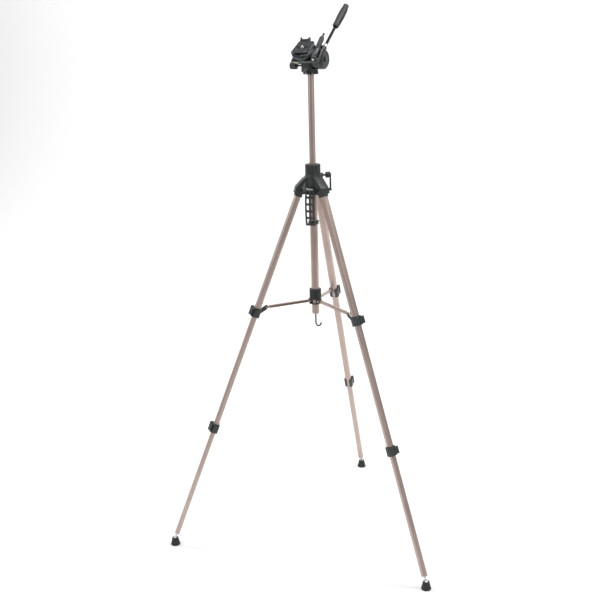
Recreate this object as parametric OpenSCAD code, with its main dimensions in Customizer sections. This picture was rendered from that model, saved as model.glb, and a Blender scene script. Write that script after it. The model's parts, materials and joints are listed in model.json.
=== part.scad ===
// Folding three-leg camera stand with a geared centre column and a three-way pan head.
// Millimetres, +Z up, feet on the floor, centre column upright.

/* [Stance] */
// Distance from the centre column's axis to where a leg's axis meets the floor
foot_r = 497; // [400:1:600]
// Height of the leg hinges
hinge_z = 1165.2; // [1100:0.2:1400]
// Distance from the centre column's axis to a leg hinge
hinge_r = 40; // [38:0.5:48]

/* [Legs] */
// Width of the top leg tube
upper_w = 22; // [18:0.2:26.4]
// Depth of the top leg tube, front to back
upper_d = 19; // [16:0.2:22.8]
// Wall of the leg tubes
leg_wall = 0.8; // [0.6:0.01:1]
// Distance down the leg from its hinge to the middle of the top clamp
main_clamp_s = 410.5; // [342:0.5:492]
// Distance from the middle of the top clamp to the middle of the lower clamp
middle_len = 406.7; // [340:0.1:440]
// Height of the leg clamps
clamp_h = 30; // [25:1:36]
// Diameter of the foot studs' balls
ball_d = 14; // [12:0.5:16]

/* [Centre column] */
// Diameter of the column
column_d = 19; // [16:0.1:22.8]
// Height of the column above the canopy
column_raise = 298; // [248:1:358]
// Length of the column that stays in the stand
column_grip = 71; // [59:1:85]
// Length of the carrying handle
carry_len = 112; // [94:1:134]

/* [Brace] */
// Height of the hub's pins above the ears that take the arms
hub_rise = 11; // [5:0.5:30]
// Width of the brace arms
arm_w = 9; // [7.5:0.1:10.8]

/* [Head] */
// Turn of the head about the column
head_turn = -8.4; // [-180:0.1:180]
// Forward tilt of the camera platform
head_tilt = 44; // [0:1:60]
// Radius of the tilting drum
drum_r = 29; // [25:0.5:34.8]
// Length of the pan handle's grip
grip_len = 99; // [80:1:119]
// Diameter of the camera screw's thread
screw_d = 6.35; // [6.35:0.01:9.53]

/* [Hidden] */
$fn = 64;
run = 0.08;                     // radial clearance of a pin or shaft that turns in its hole
fixed_gap = 0.02;               // clearance round what is fixed in its hole
slip = 0.2;                     // clearance round a tube in a clamp or plug
leg_az = [90, 210, 330];
column_y = -foot_r / 4;         // puts the feet evenly about the origin
leg_tilt = atan((foot_r - hinge_r) / hinge_z);
leg_drop = hinge_z / cos(leg_tilt);
tube_gap = 0.4;                 // gap all round between nested leg tubes
tube_step = 2 * (leg_wall + tube_gap);
corner = 6;                     // corner radius of the top leg tube
middle_w = upper_w - tube_step;
middle_d = upper_d - tube_step;
lower_w = middle_w - tube_step;
lower_d = middle_d - tube_step;
lower_clamp_s = main_clamp_s + middle_len;
clamp_wall = 4;
lip = 1.5;                      // lip at a clamp's lower end, round the thinner tube
lever_gap = 3;                  // thickness of a clamp's two lever lugs
lever_pin_r = 2;
tube_overlap = 50;              // length of each leg tube left inside the one above
knuckle_r = 11;
knuckle_w = 22;
knuckle_gap = 0.4;
cap_start = 17;
cap_end = 23;
tube_start = 15;
ball_r = ball_d / 2;
ball_z = ball_r + 15;
ball_s = leg_drop - ball_z / cos(leg_tilt);
stud_s = ball_s - 21;           // where the lower tube ends on its foot stud
pin_r = 3;
cheek = 4;
arm_h = 8;
arm_wall = 1;
arm_solid = 6;                  // solid length at each end of a brace arm
arm_gap = 0.8;                  // gap on each side of a brace arm's outer end
ear_half = arm_w / 2 + arm_gap; // half the gap between the ears that take it
ear_t = 3;
ear_x = upper_d / 2 + 16.5;     // the ears' middle, in from the leg's axis
ear_s = main_clamp_s - clamp_h / 2 - 10.5;
ear_at = [
    hinge_r + ear_s * sin(leg_tilt) - ear_x * cos(leg_tilt),
    hinge_z - ear_s * cos(leg_tilt) - ear_x * sin(leg_tilt)
];
column_r = column_d / 2;
column_wall = 1;
guide_gap = 1.5;                // gap between the column and the guide tube
guide_wall = 1;
guide_r = column_r + guide_gap + guide_wall;
hub_r = guide_r + 8;            // radius at which the brace arms are pinned
hub_pin_z = ear_at[1] + hub_rise;
hub_pin_r = 1.5;
hub_ear_half = arm_w / 2 + 0.7;
guide_z = hub_pin_z - 40.3;
arm_span = [ear_at[0] - hub_r, hub_rise];
arm_short = 4.6;                // how far a brace arm's end stops before the ears' middle
arm_len = norm(arm_span) - arm_short;
arm_drop = atan(arm_span[1] / arm_span[0]);
guide_top = hinge_z + 2.8;
canopy_z = hinge_z - 17.2;
canopy_top = hinge_z + 45.8;
canopy_r = column_r + 15.5;
neck_r = column_r + 4.5;
neck_h = 20;
ring_r = neck_r + 9.5;
ring_h = 27;
carry_r = canopy_r + 8.5;       // how far the carrying handle bows out
carry_w = 31;
column_top = canopy_top + column_raise;
rack_az = 120;                  // side of the column that carries the rack
tooth = PI;                     // pitch of the rack, for a module of one millimetre
rack_pitch_r = column_r - 0.1;  // distance of the rack's pitch line from the column's axis
rack_w = 5;
pinion_teeth = 12;
pinion_r = pinion_teeth / 2;
crank_z = hinge_z + 36.3;
crank_r = 3;
crank_y = rack_pitch_r + pinion_r;
crank_hub = [canopy_r + 17, canopy_r + 32];
crank_len = 46;
crank_arm_t = 4.6;
rack_z = crank_z - 11.5;
rack_len = column_top - 29 - rack_z;
base_r = column_r + 13.5;
base_plug = 24;
pan_z = column_top + 2;         // where the turning part of the head sits on its base
spigot_r = 9;
disc_t = 5.2;
tilt_z = pan_z + drum_r + 8;    // height of the head's tilt axis
tilt_pin_r = 4;
tongue = [-21, 14];
tongue_r = drum_r - 7;
cheek_x = [-39, -22];
cheek_r = 15;
knob_z = -cheek_r - 3.5;        // the pan knob's screw, below the tilt axis
drum_x = [16, 50];
handle_x = 34;
handle_r = 4.75;
handle_lift = 10;
handle_droop = 6;
side_x = 38;                    // hinge on which the platform turns over to the side
side_z = drum_r + 12.5;
side_r = 7.5;
side_pin_r = 3;
plate_x = [-40, 29];
plate_y = [-40, 28];
plate_z = side_z - 5;
plate_t = 9.5;
quick_x = -5.5;
quick_w = 43;
quick_y = [-24, 20];
quick_z = plate_z + plate_t + 0.2;
quick_t = 6.5;
lever_stub = [22, -27];         // pivot of the quick-release lever
lever_end = [2, -32.5];
screw_y = -2;
screw_stand = 5.5;              // how far the camera screw stands out of its plate
screw_shank = screw_d / 2 + 0.8; // radius of the plain shank below the screw's thread
black = [0.11, 0.12, 0.12];
champagne = [0.80, 0.72, 0.68];
steel = [0.75, 0.75, 0.76];
rubber = [0.06, 0.06, 0.06];

// --- Frames ---

// The centre column's axis.
module at_column() {
    translate([0, column_y, 0]) children();
}

// Leg i: origin at its hinge, +X outward, -Z down the leg.
module at_leg(i) {
    at_column() rotate([0, 0, leg_az[i]]) translate([hinge_r, 0, hinge_z])
        rotate([0, -leg_tilt, 0]) children();
}

// The crank's axis as +X, beside the column on the rack's side.
module at_crank() {
    at_column() rotate([0, 0, rack_az - 90]) translate([0, crank_y, crank_z]) children();
}

// The tilting head, level, with +Y to the rear and its origin on the tilt axis.
module at_tilt() {
    at_column() translate([0, 0, tilt_z]) rotate([0, 0, head_turn])
        rotate([head_tilt, 0, 0]) children();
}

// The turning part of the head, upright, with its origin on the tilt axis.
module at_pan() {
    at_column() translate([0, 0, tilt_z]) rotate([0, 0, head_turn]) children();
}

// --- Shared shapes ---

// Rounded oblong, d along X and w along Y.
module oblong(d, w, r) {
    square([d - 2 * r, w], center = true);
    square([d, w - 2 * r], center = true);
    for (x = [-1, 1], y = [-1, 1])
        translate([x * (d / 2 - r), y * (w / 2 - r)]) circle(r = r);
}

// Round-ended bar between two points.
module bar(p, q, r) {
    n = [q[1] - p[1], p[0] - q[0]] * r / norm(q - p);
    translate(p) circle(r = r);
    translate(q) circle(r = r);
    polygon([p + n, q + n, q - n, p - n]);
}

// Extrudes a drawing of the XZ plane along Y, between y0 and y1.
module along_y(y0, y1) {
    translate([0, y1, 0]) rotate([90, 0, 0]) linear_extrude(y1 - y0) children();
}

// Extrudes a drawing of the YZ plane along X, between x0 and x1.
module along_x(x0, x1) {
    translate([x0, 0, 0]) rotate([90, 0, 90]) linear_extrude(x1 - x0) children();
}

// Rod along X, between x0 and x1.
module rod_x(x0, x1, r) {
    translate([x0, 0, 0]) rotate([0, 90, 0]) cylinder(r = r, h = x1 - x0);
}

// Rod along Y, between y0 and y1.
module rod_y(y0, y1, r) {
    translate([0, y0, 0]) rotate([-90, 0, 0]) cylinder(r = r, h = y1 - y0);
}

// Part of a leg between s0 and s1 down from its hinge.
module down(s0, s1) {
    translate([0, 0, -s1]) linear_extrude(s1 - s0) children();
}

// --- Legs ---

// Knuckle on the hinge pin, and the sleeve that takes the top tube's end.
module leg_cap(i) {
    color(black) at_leg(i) difference() {
        union() {
            along_y(-knuckle_w / 2, knuckle_w / 2) {
                circle(r = knuckle_r);
                translate([-knuckle_r + 1, -cap_start]) square([2 * knuckle_r - 2, cap_start]);
            }
            down(cap_start, cap_end) oblong(upper_d + 6, upper_w + 5, corner + 2);
        }
        rod_y(-knuckle_w, knuckle_w, pin_r + run);
        down(tube_start, cap_end + 1) oblong(upper_d + slip, upper_w + slip, corner);
    }
}

// Hollow leg tube from s0 to s1.
module leg_tube(i, d, w, r, s0, s1) {
    color(champagne) at_leg(i) down(s0, s1) difference() {
        oblong(d, w, r);
        oblong(d - 2 * leg_wall, w - 2 * leg_wall, r - leg_wall);
    }
}

module upper_tube(i) {
    leg_tube(i, upper_d, upper_w, corner, tube_start, main_clamp_s + clamp_h / 2 - lip);
}

module middle_tube(i) {
    leg_tube(i, middle_d, middle_w, corner - tube_step / 2, main_clamp_s - tube_overlap,
        lower_clamp_s + clamp_h / 2 - lip);
}

module lower_tube(i) {
    leg_tube(i, lower_d, lower_w, corner - tube_step, lower_clamp_s - tube_overlap, stud_s);
}

// Pin of a clamp's lever: just off the collar's outer face, near one side.
function lever_at(d, w) = [d / 2 + clamp_wall + 2, -w / 2 - 1];

// Collar with a gap in its inner side and two lugs for its lever.
module collar(d, w, r, inner_d, inner_w, inner_r, s) {
    top = s - clamp_h / 2;
    end = s + clamp_h / 2;
    difference() {
        union() {
            down(top, end) oblong(d + 2 * clamp_wall, w + 2 * clamp_wall + 1, r + 3);
            down(top, end) translate(lever_at(d, w)) circle(r = 4.5);
        }
        down(top - 1, end - lip) oblong(d + slip, w + slip, r);
        down(end - lip - 1, end + 1)
            oblong(inner_d + 2 * slip, inner_w + 2 * slip, inner_r);
        down(top - 1, end + 1) translate(lever_at(d, w)) circle(r = lever_pin_r + run);
        down(top + lever_gap, end - lever_gap) translate(lever_at(d, w)) circle(r = 5.1);
        down(top - 1, end + 1)
            translate([-d - slip / 2, -ear_half]) square([d / 2 + slip, 2 * ear_half]);
    }
}

// Flip lever: knuckle and trunnions on the lever pin, blade across the collar, thumb ridge.
module lever(d, w, s) {
    pin = lever_at(d, w);
    top = s - clamp_h / 2;
    end = s + clamp_h / 2;
    down(top, end) translate(pin) circle(r = lever_pin_r);
    down(top + lever_gap + 0.3, end - lever_gap - 0.3) {
        translate(pin) circle(r = 4.5);
        bar(pin + [0.6, 0], [pin[0] + 0.6, w / 2 + 2], 2);
        bar([pin[0] + 0.6, w / 2 + 2], [pin[0] + 1.4, w / 2 + 5], 2);
        translate([pin[0] + 2.2, 2]) circle(r = 1.8);
    }
}

// Clamp on the top tube, with the two ears that take the brace arm's outer end.
module main_clamp(i) {
    ear = [-ear_x, main_clamp_s - ear_s];
    root = [-upper_d / 2 - 2, 6];
    color(black) at_leg(i) difference() {
        union() {
            collar(upper_d, upper_w, corner, middle_d, middle_w, corner - tube_step / 2,
                main_clamp_s);
            for (side = [-1, 1])
                translate([0, side * (ear_half + ear_t / 2), -main_clamp_s])
                    along_y(-ear_t / 2, ear_t / 2) bar(root, ear, 4.6);
        }
        down(main_clamp_s - 45, main_clamp_s + clamp_h / 2 - lip)
            oblong(upper_d + slip, upper_w + slip, corner);
    }
}

module main_lever(i) {
    color(black) at_leg(i) lever(upper_d, upper_w, main_clamp_s);
}

// Clamp on the middle tube.
module lower_clamp(i) {
    color(black) at_leg(i) collar(middle_d, middle_w, corner - tube_step / 2, lower_d, lower_w,
        corner - tube_step, lower_clamp_s);
}

module lower_lever(i) {
    color(black) at_leg(i) lever(middle_d, middle_w, lower_clamp_s);
}

// Plug in the lower tube's end, with the shank and ball that the foot swivels on.
module foot_stud(i) {
    color(steel) at_leg(i) {
        down(stud_s - 14, stud_s)
            oblong(lower_d - 2 * leg_wall - slip, lower_w - 2 * leg_wall - slip,
                corner - tube_step - leg_wall);
        down(stud_s, stud_s + 2) oblong(lower_d, lower_w, corner - tube_step);
        down(stud_s + 1, ball_s) circle(r = 2.75);
        translate([0, 0, -ball_s]) sphere(r = ball_r);
    }
}

// Bell-shaped foot, level on the floor, with a socket round the ball.
module foot(i) {
    ball_at = hinge_r + ball_s * sin(leg_tilt);
    color(rubber) at_column() rotate([0, 0, leg_az[i]]) translate([ball_at, 0, 0])
        difference() {
            rotate_extrude() polygon([
                [0, 0], [13.5, 0], [15, 1.5], [15, 5], [13.6, 6.5], [12.6, 12], [11, 20],
                [9.8, ball_z + 3.5], [0, ball_z + 3.5]
            ]);
            translate([0, 0, ball_z]) sphere(r = ball_r + run);
        }
}

// --- Brace ---

// Channel strip, open on one side, pinned to the hub at its solid inner end.
module brace_arm(i) {
    color(champagne) at_column() rotate([0, 0, leg_az[i]]) translate([hub_r, 0, hub_pin_z])
        rotate([0, arm_drop, 0]) difference() {
            along_y(-arm_w / 2, arm_w / 2) bar([0, 0], [arm_len - arm_h / 2, 0], arm_h / 2);
            translate([arm_solid, -arm_w / 2 + arm_wall, -arm_h / 2 + arm_wall])
                cube([arm_len - 2 * arm_solid, arm_w, arm_h - 2 * arm_wall]);
            rod_y(-arm_w, arm_w, hub_pin_r + run);
        }
}

// Ribbed sleeve that slides on the guide tube, with three pairs of ears between it and a ring.
module brace_hub() {
    sleeve_r = guide_r + 6.5;
    hub_foot = guide_r - 2;
    color(black) at_column() difference() {
        union() {
            translate([0, 0, hub_pin_z + 5]) cylinder(r = sleeve_r, h = 4);
            translate([0, 0, hub_pin_z + 9]) linear_extrude(29) difference() {
                circle(r = sleeve_r);
                for (a = [0:15:345])
                    rotate([0, 0, a + 7.5]) translate([sleeve_r + 0.7, 0]) circle(r = 1.5);
            }
            translate([0, 0, hub_pin_z - 11]) cylinder(r = guide_r + 3, h = 3);
            for (i = [0:2], side = [-1, 1])
                rotate([0, 0, leg_az[i]]) translate([0, side * (hub_ear_half + 1.4), hub_pin_z])
                    along_y(-1.4, 1.4) {
                        translate([hub_r, 0]) circle(r = 4.5);
                        translate([hub_foot, -10]) square([hub_r - hub_foot, 16.5]);
                    }
        }
        translate([0, 0, hub_pin_z - 12]) cylinder(r = guide_r + run, h = 60);
        for (i = [0:2]) rotate([0, 0, leg_az[i]]) translate([hub_r, 0, hub_pin_z])
            rod_y(-2 * arm_w, 2 * arm_w, hub_pin_r + run);
    }
}

// Rivets through the hub's ears and the brace arms.
module hub_pins() {
    half = hub_ear_half + 2.8;
    color(steel) at_column() for (i = [0:2]) rotate([0, 0, leg_az[i]])
        translate([hub_r, 0, hub_pin_z]) {
            rod_y(-half, half, hub_pin_r);
            for (side = [-1, 1]) rod_y(side * (half + 0.5) - 0.5, side * (half + 0.5) + 0.5, 2.6);
        }
}

// --- Centre ---

// Spider that carries the legs, with the column's bore, the pinion's pocket and the collet neck.
module canopy() {
    slot_w = knuckle_w / 2 + knuckle_gap;
    color(black) at_column() difference() {
        union() {
            translate([0, 0, canopy_z]) cylinder(r = canopy_r, h = canopy_top - canopy_z - 10);
            translate([0, 0, canopy_top - 10]) cylinder(r1 = canopy_r, r2 = canopy_r - 2, h = 10);
            translate([0, 0, canopy_top]) cylinder(r = neck_r, h = neck_h);
            for (i = [0:2]) rotate([0, 0, leg_az[i]])
                translate([0, 0, hinge_z]) along_y(-slot_w - cheek, slot_w + cheek) {
                    translate([hinge_r, 0]) circle(r = knuckle_r + 5);
                    polygon([
                        [10, -12], [hinge_r, -knuckle_r - 5], [hinge_r + 13, 9.33],
                        [hinge_r - 8, 31], [14, 42], [10, 42]
                    ]);
                    translate([hinge_r, 0]) rotate([0, 0, leg_tilt])
                        translate([0, 0.6 - cap_start]) square([knuckle_r + 4, cap_start]);
                }
            rotate([0, 0, rack_az - 90]) translate([0, crank_y, crank_z])
                rod_x(0, canopy_r + 9, 7.5);
        }
        translate([0, 0, canopy_z - 1]) cylinder(r = guide_r + fixed_gap, h = guide_top - canopy_z + 1);
        translate([0, 0, guide_top - 1]) cylinder(r = column_r + run, h = 100);
        for (i = [0:2]) rotate([0, 0, leg_az[i]]) translate([0, 0, hinge_z]) {
            along_y(-slot_w, slot_w) {
                translate([hinge_r, 0]) circle(r = knuckle_r + 1);
                polygon([
                    [hinge_r - knuckle_r - 1, 0], [hinge_r - knuckle_r - 1, -30],
                    [hinge_r + 30, -30], [hinge_r + 12, 0]
                ]);
            }
            translate([hinge_r, 0, 0]) rod_y(-slot_w - 8, slot_w + 8, pin_r + fixed_gap);
        }
        rotate([0, 0, rack_az - 90]) {
            translate([-rack_w / 2 - 0.4, 0, guide_top - 1])
                cube([rack_w + 0.8, rack_pitch_r + 1.6, 100]);
            translate([0, crank_y, crank_z]) {
                rod_x(-4, 4, pinion_r + 1.6);
                rod_x(-10, 3 * canopy_r, crank_r + run);
            }
        }
    }
}

// The three leg hinge pins.
module leg_hinge_pins() {
    half = knuckle_w / 2 + knuckle_gap + cheek;
    color(steel) at_column() for (i = [0:2]) rotate([0, 0, leg_az[i]])
        translate([hinge_r, 0, hinge_z]) {
            rod_y(-half, half, pin_r);
            for (side = [-1, 1]) rod_y(side * (half + 0.6) - 0.6, side * (half + 0.6) + 0.6, 4.6);
        }
}

module guide_tube() {
    color(champagne) at_column() difference() {
        translate([0, 0, guide_z]) cylinder(r = guide_r, h = guide_top - guide_z);
        translate([0, 0, guide_z - 1])
            cylinder(r = guide_r - guide_wall, h = guide_top - guide_z + 2);
    }
}

// Plug in the guide tube's lower end, rounded off, bored for the hook.
module end_plug() {
    color(champagne) at_column() difference() {
        union() {
            translate([0, 0, guide_z]) cylinder(r = guide_r - guide_wall - fixed_gap, h = 12);
            translate([0, 0, guide_z - 4]) cylinder(r1 = guide_r - 3, r2 = guide_r, h = 4);
        }
        translate([0, 0, guide_z - 10]) cylinder(r = 2.5 + run, h = 40);
    }
}

// Hook bent from round wire, with a head that turns on top of the plug.
module hook() {
    bend = 8.5;
    hook_z = guide_z - 35;
    color(black) at_column() {
        translate([0, 0, hook_z]) cylinder(r = 2.5, h = guide_z + 15 - hook_z);
        translate([0, 0, guide_z + 12.3]) cylinder(r = 5, h = 3);
        translate([bend, 0, hook_z]) rotate([90, 0, 0]) rotate([0, 0, 180])
            rotate_extrude(angle = 200) translate([bend, 0]) circle(r = 2.5);
    }
}

// Perforated carrying handle bowed out in front of the guide tube, with its ring and top lug.
module carry_handle() {
    bow = 5;
    bar_r = 3.3;
    end = carry_r - bow;
    half = carry_len / 2;
    bend = (half * half + bow * bow) / (2 * bow);
    pitch = carry_len * 0.1875;
    window = [7.6, pitch - 6];
    color(black) at_column() rotate([0, 0, 270]) translate([0, 0, hinge_z + 0.8 - half]) {
        difference() {
            along_y(-carry_w / 2, carry_w / 2) intersection() {
                translate([carry_r - bend, 0]) difference() {
                    circle(r = bend + 1.6);
                    circle(r = bend - 1.6);
                }
                translate([0, -half]) square([2 * carry_r, 2 * half]);
            }
            for (side = [-1, 1], n = [-2:2])
                translate([0, side * 6.7, n * pitch])
                    along_x(0, 2 * carry_r) oblong(window[0], window[1], 3.4);
        }
        translate([0, 0, -half]) difference() {
            union() {
                cylinder(r = guide_r + 4, h = 11);
                translate([guide_r, -8, 0]) cube([end - guide_r, 16, 8]);
            }
            translate([0, 0, -1]) cylinder(r = guide_r + fixed_gap, h = 13);
        }
        along_y(-11, 11) translate([end, half - 1]) circle(r = bar_r);
        translate([canopy_r + fixed_gap, -5, half - 4]) cube([end - canopy_r, 10, 6]);
    }
}

// Column, slotted on one side for its rack.
module column_tube() {
    len = column_raise + column_grip;
    color(champagne) at_column() rotate([0, 0, rack_az - 90]) difference() {
        translate([0, 0, canopy_top - column_grip]) cylinder(r = column_r, h = len);
        translate([0, 0, canopy_top - column_grip - 1])
            cylinder(r = column_r - column_wall, h = len + 2);
        translate([-rack_w / 2 - fixed_gap, 0, rack_z - fixed_gap])
            cube([rack_w + 2 * fixed_gap, column_d, rack_len + 2 * fixed_gap]);
    }
}

// Toothed strip let into the column's slot.
module column_rack() {
    count = floor(rack_len / tooth);
    tip = rack_pitch_r + 0.95;
    root = rack_pitch_r - 1.15;
    start = crank_z - tooth * floor((crank_z - rack_z) / tooth);
    flank = [for (n = [0:count - 2], p = [[root, -1.2], [tip, -0.4], [tip, 0.4], [root, 1.2]])
        [p[0], start + n * tooth + p[1]]];
    color(steel) at_column() rotate([0, 0, rack_az - 90]) along_x(-rack_w / 2, rack_w / 2)
        polygon(concat([[root - 1.6, rack_z], [root, rack_z]], flank,
            [[root, rack_z + rack_len], [root - 1.6, rack_z + rack_len]]));
}

// Lobed ring that closes the collet neck on the column.
module lock_ring() {
    color(black) at_column() translate([0, 0, canopy_top + 0.5]) difference() {
        union() {
            linear_extrude(ring_h) difference() {
                circle(r = ring_r);
                for (a = [0:30:330]) rotate([0, 0, a + 15]) translate([ring_r + 2.4, 0])
                    circle(r = 4);
            }
            cylinder(r = ring_r - 2.5, h = ring_h + 1);
        }
        translate([0, 0, -1]) cylinder(r = neck_r + run, h = neck_h + 1.5);
        translate([0, 0, -1]) cylinder(r = column_r + 0.4, h = ring_h + 3);
        rotate([0, 0, rack_az - 90]) translate([0, 0, -1])
            cylinder(r = rack_pitch_r + 1.6, h = ring_h + 3);
    }
}

// Shaft with the pinion cut on its inner end.
module crank_shaft() {
    step = 360 / pinion_teeth;
    color(steel) at_crank() {
        rod_x(-8, crank_hub[1] - 2, crank_r);
        along_x(0.3 - rack_w / 2, rack_w / 2 - 0.3) {
            circle(r = pinion_r - 1.2);
            for (n = [0:pinion_teeth - 1]) rotate([0, 0, n * step + step / 2])
                polygon([[pinion_r - 2, -1], [pinion_r + 0.9, -0.35], [pinion_r + 0.9, 0.35],
                    [pinion_r - 2, 1]]);
        }
    }
}

// Crank boss on the shaft, and the arm that hangs from its outer end.
module crank_arm() {
    color(black) at_crank() difference() {
        union() {
            rod_x(crank_hub[0], crank_hub[1], 8.5);
            along_x(crank_hub[1] - crank_arm_t / 2, crank_hub[1] + crank_arm_t / 2)
                bar([0, 0], [0, -crank_len], 3.8);
        }
        rod_x(crank_hub[0] - 1, crank_hub[1] - 2, crank_r + fixed_gap);
        translate([crank_hub[1], 0, -crank_len]) rod_x(-crank_arm_t, crank_arm_t, 1.6 + run);
    }
}

// Knob that turns on the arm's end, folded in towards the stand.
module crank_knob() {
    half = crank_arm_t / 2;
    color(black) at_crank() translate([crank_hub[1], 0, -crank_len]) {
        rod_x(-half - 11, -half - 0.4, 5);
        rod_x(-half - 1, half + 1, 1.6);
        rod_x(half + 0.4, half + 1.6, 3);
    }
}

// --- Head ---

// Flange on the column's top, with its plug below and the pan spigot above.
module pan_base() {
    plug_r = column_r - column_wall - fixed_gap;
    color(black) at_column() difference() {
        union() {
            translate([0, 0, column_top - 3.4]) cylinder(r = base_r, h = pan_z - column_top + 3.4);
            translate([0, 0, column_top - base_plug]) cylinder(r = plug_r, h = base_plug + 1);
            translate([0, 0, pan_z]) cylinder(r = spigot_r, h = 23);
        }
        translate([0, 0, column_top - 4]) difference() {
            cylinder(r = column_r + fixed_gap, h = 4);
            cylinder(r = plug_r, h = 4);
        }
    }
}

// Disc that turns on the base, and the tongue that carries the tilt pin.
module pan_body() {
    drop = tilt_z - pan_z;
    color(black) at_pan() difference() {
        union() {
            translate([0, 0, 0.3 - drop]) cylinder(r = base_r - 0.5, h = disc_t);
            along_x(tongue[0], tongue[1]) {
                circle(r = tongue_r);
                translate([2 - tongue_r, 1 - drop]) square([2 * tongue_r - 4, drop - 1]);
            }
        }
        translate([0, 0, -drop - 1]) cylinder(r = spigot_r + run, h = 25);
        rod_x(tongue[0] - 1, tongue[1] + 1, tilt_pin_r + fixed_gap);
        translate([0, 0, knob_z]) rod_x(cheek_x[0] - 1, 0, 2.5 + run);
    }
}

// Knob whose screw locks the pan.
module pan_knob() {
    color(black) at_pan() translate([0, 0, knob_z]) {
        rod_x(-46, -spigot_r - 0.5, 2.5);
        translate([-66, 0, 0]) rotate([90, 0, 90]) linear_extrude(20) difference() {
            circle(r = 11);
            for (a = [0:45:315]) rotate([0, 0, a]) translate([12.6, 0]) circle(r = 3);
        }
        rod_x(-67, -66, 8);
        rod_x(-46, -42, 5);
    }
}

// Pin that the head tilts on.
module tilt_pin() {
    color(steel) at_pan() {
        rod_x(-41, 52, tilt_pin_r);
        rod_x(-43, -40, 8);
        rod_x(50.6, 53, 8);
    }
}

// Drum, left cheek and bridge that tilt together, with the handle's socket and the side hinge.
module tilt_body() {
    drum_w = drum_x[1] - drum_x[0];
    bridge_z = tongue_r + 2;
    color(black) at_tilt() difference() {
        union() {
            translate([drum_x[0], 0, 0]) rotate([0, 90, 0]) rotate_extrude() polygon([
                [0, 0], [drum_r - 1, 0], [drum_r, 1], [drum_r, drum_w - 4],
                [drum_r - 4, drum_w], [0, drum_w]
            ]);
            along_x(cheek_x[0], cheek_x[1]) {
                circle(r = cheek_r);
                translate([-cheek_r, 0]) square([2 * cheek_r, bridge_z + 1]);
            }
            translate([cheek_x[0], plate_y[0] + 2, bridge_z])
                cube([drum_x[1] - cheek_x[0], 62, side_z - side_r - bridge_z]);
            for (y = [[-36, -28], [2, 8]]) along_y(y[0], y[1]) {
                translate([side_x, side_z]) circle(r = side_r);
                translate([side_x - side_r, bridge_z + 4]) square([2 * side_r, side_z - bridge_z - 4]);
            }
            translate([handle_x, 0, 0]) rotate([-handle_droop, 0, 0])
                translate([0, 0, handle_lift]) rod_y(10, 40, 8);
        }
        rod_x(-45, 60, tilt_pin_r + run);
        rod_x(tongue[0] - 0.5, tongue[1] + 0.5, tongue_r + 0.6);
        translate([side_x, 0, side_z]) rod_y(-40, 10, side_pin_r + run);
        translate([handle_x, 0, 0]) rotate([-handle_droop, 0, 0])
            translate([0, 0, handle_lift]) rod_y(20, 41, handle_r + run);
    }
}

// Rod of the pan handle, with its ferrule.
module handle_rod() {
    color(steel) at_tilt() translate([handle_x, 0, 0]) rotate([-handle_droop, 0, 0])
        translate([0, 0, handle_lift]) {
            rod_y(22, 150, handle_r);
            rod_y(40.4, 50, 6.6);
        }
}

// Ribbed grip on the handle's end.
module handle_grip() {
    color(rubber) at_tilt() translate([handle_x, 0, 0]) rotate([-handle_droop, 0, 0])
        translate([0, 132, handle_lift]) difference() {
            rotate([-90, 0, 0]) rotate_extrude() polygon([
                [0, 0], [8, 0], [9.6, 3], [10.2, 12], [10.8, grip_len - 20],
                [10.2, grip_len - 8], [7.5, grip_len - 2], [4, grip_len], [0, grip_len]
            ]);
            rod_y(-1, 18, handle_r + fixed_gap);
        }
}

// Pin of the platform's side hinge, with its screw head in front.
module side_pin() {
    color(steel) at_tilt() translate([side_x, 0, side_z]) {
        rod_y(-37, 14, side_pin_r);
        rod_y(-39, -36.2, 5.2);
    }
}

// Long knob on the side pin's rear end, tapering to a thin tip.
module side_knob() {
    color(rubber) at_tilt() translate([side_x, 0, side_z]) difference() {
        rotate([-90, 0, 0]) rotate_extrude() polygon([
            [0, 8.5], [6.6, 8.5], [7.5, 10], [7.5, 42], [6, 46], [3.6, 48], [3, 62], [0, 63]
        ]);
        rod_y(8, 14.4, side_pin_r + run);
    }
}

// Camera platform with its side rails, front lip, rear horns and hinge knuckle.
module platform() {
    mid = (plate_x[0] + plate_x[1]) / 2;
    centre = (plate_y[0] + plate_y[1]) / 2;
    half_x = (plate_x[1] - plate_x[0]) / 2;
    half_y = (plate_y[1] - plate_y[0]) / 2;
    reach = half_x + 3;
    horn_x = mid - 8;
    top = plate_z + plate_t;
    color(black) at_tilt() difference() {
        union() {
            translate([mid, centre, plate_z]) linear_extrude(plate_t) intersection() {
                translate([0, reach - half_y]) circle(r = reach);
                polygon([[-half_x - 2, -half_y], [half_x + 2, -half_y], [half_x + 2, -8],
                    [half_x - 10, half_y], [10 - half_x, half_y], [-half_x - 2, -8]]);
            }
            for (side = [-1, 1]) translate([quick_x + side * (quick_w / 2 + 2), -2, top - 1])
                linear_extrude(4) oblong(3, 40, 1.4);
            translate([horn_x, plate_y[1] - 6, plate_z + 2]) linear_extrude(plate_t) polygon([
                [-13, 0], [-16, 20], [-12.5, 20.5], [-8, 13], [8, 13], [12.5, 20.5], [16, 20], [13, 0]
            ]);
            translate([mid, quick_y[1] + 6, plate_z])
                linear_extrude(plate_t + 2) oblong(28, 11, 3);
            along_y(-27.7, 1.7) {
                translate([side_x, side_z]) circle(r = side_r);
                translate([plate_x[1] - 8, plate_z]) square([side_x - plate_x[1] + 8, 7]);
            }
        }
        translate([side_x, 0, side_z]) rod_y(-30, 4, side_pin_r + run);
        translate([lever_stub[0], lever_stub[1], plate_z - 1]) cylinder(r = 2 + run, h = 20);
        translate([quick_x, screw_y, plate_z - 1]) cylinder(r = 9, h = 20);
    }
}

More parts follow.
